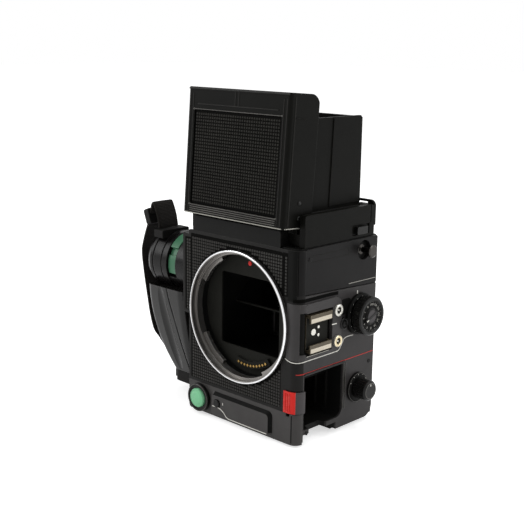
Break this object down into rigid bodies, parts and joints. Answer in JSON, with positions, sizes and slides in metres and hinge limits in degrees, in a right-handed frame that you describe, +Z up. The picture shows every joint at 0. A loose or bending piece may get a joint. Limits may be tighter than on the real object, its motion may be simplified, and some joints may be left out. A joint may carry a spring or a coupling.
{
  "type": "medium format film camera",
  "caption": "Box shaped reflex camera body with an open bayonet mount, standing finder lid and hood walls, side dials, open battery bay and a swivelling hand grip with strap.",
  "frame": {"origin": "centre of the lens mount on the front face of its ring", "axes": "+X to the right seen from the front (dial and battery side), +Y from the lens side to the film side, +Z up"},
  "size_m": [0.1555, 0.0789, 0.1963],
  "materials": {
    "body_black": "satin",
    "cover_black": "fine matt",
    "grained_black": "grained",
    "dull_black": "anti-reflection matt",
    "black_knob": "satin",
    "chrome_ring": "turned",
    "steel": "ground",
    "silver_socket": "turned",
    "gold_contact": "polished",
    "shoe_metal": "satin",
    "green": "satin",
    "red": "satin",
    "grey": "satin",
    "rubber_black": "matt",
    "foam_black": "matt foam",
    "mirror_glass": "front silvered",
    "screen_glass": "fine ground",
    "lens_glass": "polished",
    "strap_black": "woven"
  },
  "bodies": {
    "camera_body": {"main_housing": "body_black", "front_cover": "cover_black", "front_leatherette": "grained_black", "name_plate": "cover_black", "chin_cover": "cover_black", "bayonet_ring": "chrome_ring", "throat_baffle": "dull_black", "index_dot": "red", "contact_block": "black_knob", "contact_pins": "gold_contact", "rear_frame": "body_black", "light_seal": "foam_black", "magazine_hooks": "steel", "magazine_contacts": "gold_contact", "focusing_screen": "screen_glass", "screen_frame": "dull_black", "upper_side_cover": "cover_black", "lower_side_cover": "cover_black", "control_panel": "cover_black", "accessory_shoe": "shoe_metal", "shoe_contacts": "shoe_metal", "sync_sockets": "silver_socket", "dial_collars": "black_knob", "strap_lugs": "steel", "cover_screws": "steel", "battery_contacts": "gold_contact", "release_collar": "black_knob", "base_plate": "body_black", "tripod_bush": "steel", "feet": "rubber_black", "grip_base": "body_black"},
    "mirror": {"mirror_glass_sheet": "mirror_glass", "mirror_carrier": "dull_black"},
    "upper_flap": {"upper_light_flap": "dull_black"},
    "lower_flap": {"lower_light_flap": "dull_black"},
    "magazine_drive": {"drive_dog": "steel"},
    "speed_knob": {"speed_dial": "black_knob"},
    "mode_knob": {"mode_dial": "black_knob"},
    "lever": {"lock_lever": "black_knob"},
    "battery_latch": {"latch_cap": "red", "latch_tail": "grey"},
    "release": {"release_button": "green"},
    "prerelease": {"lockup_button": "black_knob"},
    "finder": {"finder_frame": "cover_black", "finder_pins": "steel"},
    "catch": {"finder_catch": "black_knob"},
    "lid": {"lid_shell": "cover_black", "lid_leatherette": "grained_black"},
    "magnifier": {"magnifier_frame": "dull_black", "magnifier_lens": "lens_glass"},
    "hood_right": {"right_wall": "body_black"},
    "hood_left": {"left_wall": "body_black"},
    "hood_rear": {"rear_wall": "body_black"},
    "grip": {"grip_hub": "cover_black", "grip_drum": "cover_black", "grip_handle": "rubber_black", "hand_strap": "strap_black", "strap_anchors": "cover_black", "strap_buckle": "black_knob"},
    "grip_lever": {"grip_release": "green"}
  },
  "joints": [
    {"name": "release_press", "type": "slide", "parent": "camera_body", "child": "release", "axis": [0, 1, 0], "range_m": [0, 0.0025], "stiffness_N_per_m": 300, "springref_m": -0.002},
    {"name": "prerelease_press", "type": "slide", "parent": "camera_body", "child": "prerelease", "axis": [0, 1, 0], "range_m": [0, 0.0015], "stiffness_N_per_m": 300, "springref_m": -0.001},
    {"name": "speed_turn", "type": "hinge", "parent": "camera_body", "child": "speed_knob", "pos_m": [0.052, 0.055, 0.0016], "axis": [1, 0, 0], "range_deg": [-150, 150]},
    {"name": "mode_turn", "type": "hinge", "parent": "camera_body", "child": "mode_knob", "pos_m": [0.052, 0.0552, -0.0435], "axis": [1, 0, 0], "range_deg": [-60, 60]},
    {"name": "lever_slide", "type": "slide", "parent": "camera_body", "child": "lever", "axis": [0, 0, 1], "range_m": [-0.002, 0.002]},
    {"name": "latch_slide", "type": "slide", "parent": "camera_body", "child": "battery_latch", "axis": [0, 0, -1], "range_m": [0, 0.004], "stiffness_N_per_m": 100, "springref_m": -0.002},
    {"name": "mirror_swing", "type": "hinge", "parent": "camera_body", "child": "mirror", "pos_m": [0, 0.062, 0.0332], "axis": [-1, 0, 0], "range_deg": [0, 45]},
    {"name": "upper_flap_swing", "type": "hinge", "parent": "camera_body", "child": "upper_flap", "pos_m": [0, 0.065, 0.0289], "axis": [-1, 0, 0], "range_deg": [0, 90]},
    {"name": "lower_flap_swing", "type": "hinge", "parent": "camera_body", "child": "lower_flap", "pos_m": [0, 0.065, -0.0289], "axis": [1, 0, 0], "range_deg": [0, 90]},
    {"name": "drive_turn", "type": "hinge", "parent": "camera_body", "child": "magazine_drive", "pos_m": [-0.0335, 0.068, -0.043], "axis": [0, 1, 0], "continuous": true},
    {"name": "finder_lift", "type": "slide", "parent": "camera_body", "child": "finder", "axis": [0, 0, 1], "range_m": [0, 0.03]},
    {"name": "catch_slide", "type": "slide", "parent": "finder", "child": "catch", "axis": [0, 1, 0], "range_m": [0, 0.003], "stiffness_N_per_m": 100, "springref_m": -0.002},
    {"name": "lid_swing", "type": "hinge", "parent": "finder", "child": "lid", "pos_m": [0, 0.00756, 0.05893], "axis": [-1, 0, 0], "range_deg": [0, 12], "stiffness_Nm_per_rad": 0.05, "springref_deg": -20.05},
    {"name": "magnifier_swing", "type": "hinge", "parent": "lid", "child": "magnifier", "pos_m": [0, 0.00684, 0.11052], "axis": [1, 0, 0], "range_deg": [0, 90]},
    {"name": "right_wall_fold", "type": "hinge", "parent": "finder", "child": "hood_right", "pos_m": [0.0361, 0.036, 0.0622], "axis": [0, -1, 0], "range_deg": [0, 90], "stiffness_Nm_per_rad": 0.01, "springref_deg": -34.38},
    {"name": "left_wall_fold", "type": "hinge", "parent": "finder", "child": "hood_left", "pos_m": [-0.0361, 0.036, 0.0592], "axis": [0, 1, 0], "range_deg": [0, 90], "stiffness_Nm_per_rad": 0.01, "springref_deg": -34.38},
    {"name": "rear_wall_fold", "type": "hinge", "parent": "finder", "child": "hood_rear", "pos_m": [0, 0.0654, 0.0558], "axis": [1, 0, 0], "range_deg": [0, 90], "stiffness_Nm_per_rad": 0.015, "springref_deg": -34.38},
    {"name": "grip_swivel", "type": "hinge", "parent": "camera_body", "child": "grip", "pos_m": [-0.056, 0.027, 0.018], "axis": [-1, 0, 0], "range_deg": [0, 90]},
    {"name": "grip_lever_turn", "type": "hinge", "parent": "grip", "child": "grip_lever", "pos_m": [-0.066, 0.027, 0.018], "axis": [1, 0, 0], "range_deg": [0, 6], "stiffness_Nm_per_rad": 0.02, "springref_deg": -17.19}
  ],
  "couplings": [
    {"joint": "upper_flap_swing", "follows": "mirror_swing", "ratio": 2},
    {"joint": "lower_flap_swing", "follows": "mirror_swing", "ratio": 2}
  ]
}
